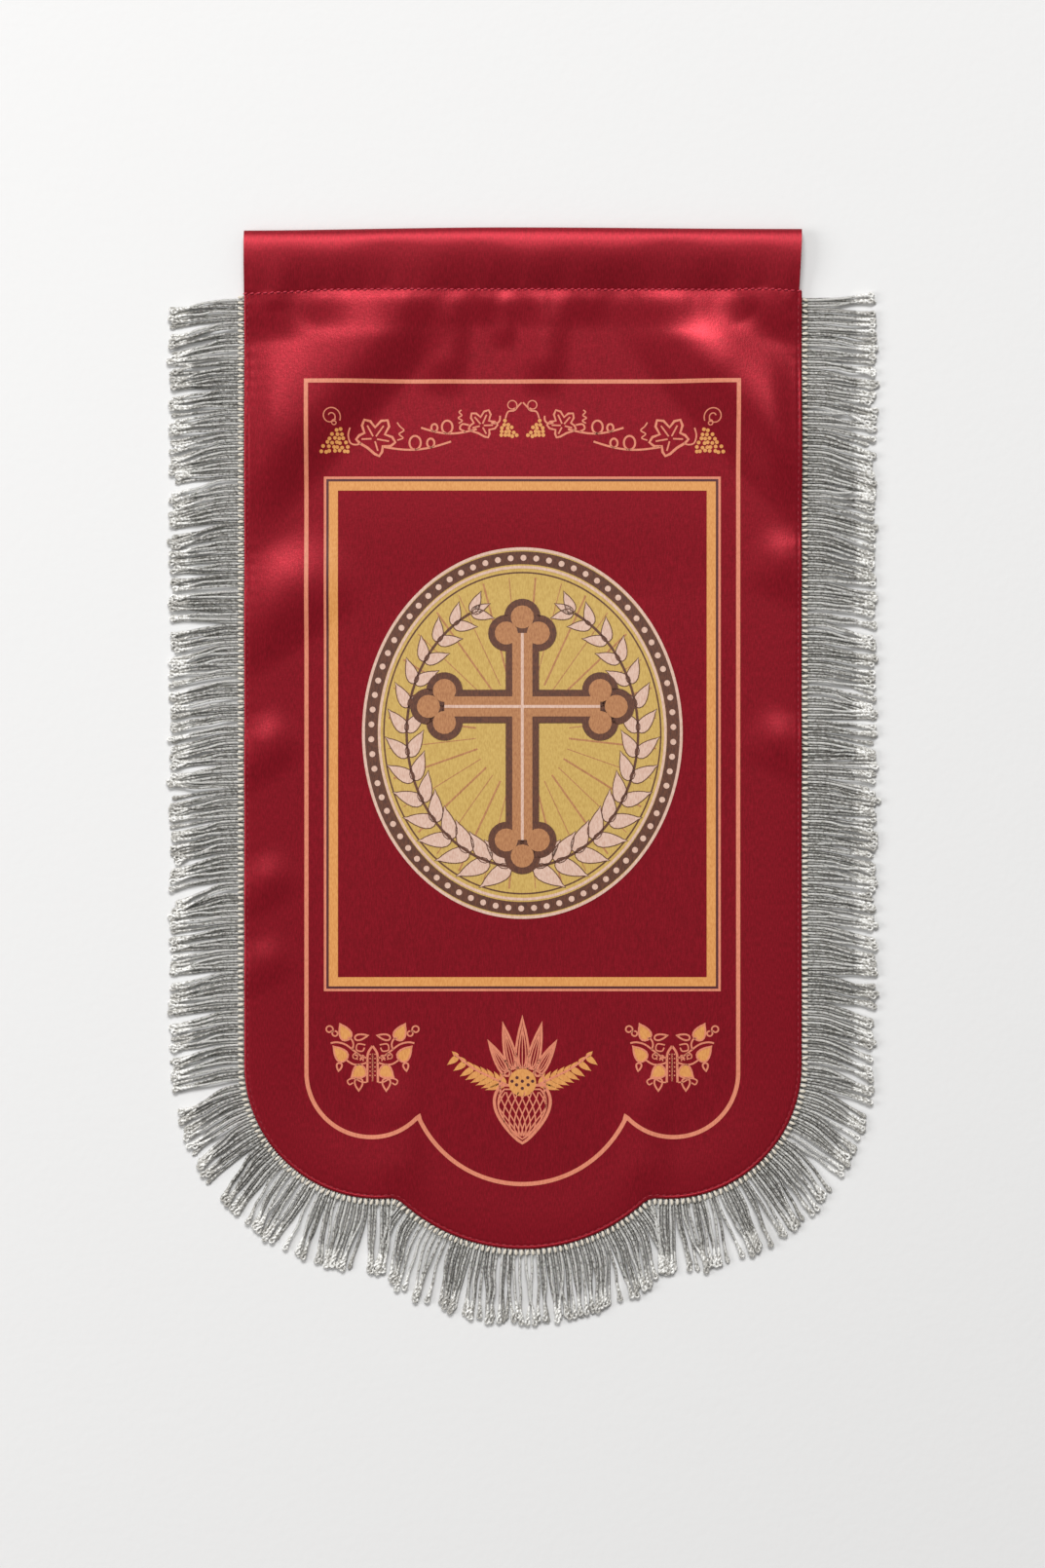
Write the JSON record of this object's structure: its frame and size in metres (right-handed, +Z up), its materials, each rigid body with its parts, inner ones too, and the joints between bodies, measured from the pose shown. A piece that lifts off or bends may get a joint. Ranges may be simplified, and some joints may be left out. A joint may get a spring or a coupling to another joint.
{
  "type": "church banner",
  "caption": "Small crimson satin banner lying face up, with a scalloped hem, an open rod pocket along its top and silver bullion fringe round its other edges.",
  "frame": {"origin": "on the surface the banner lies on, under the middle of its outline", "axes": "+X across the banner to its right, +Y towards its top, where the rod pocket is, +Z up from its back to its face"},
  "size_m": [0.321, 0.4941, 0.008],
  "materials": {
    "crimson_satin": "satin weave with a soft sheen",
    "silver_bullion": "twisted metallic thread"
  },
  "bodies": {
    "root": {"panel": "crimson_satin", "rod_pocket": "crimson_satin", "fringe_left": "silver_bullion", "fringe_scallop_left": "silver_bullion", "fringe_lobe": "silver_bullion", "fringe_scallop_right": "silver_bullion", "fringe_right": "silver_bullion"}
  },
  "joints": []
}
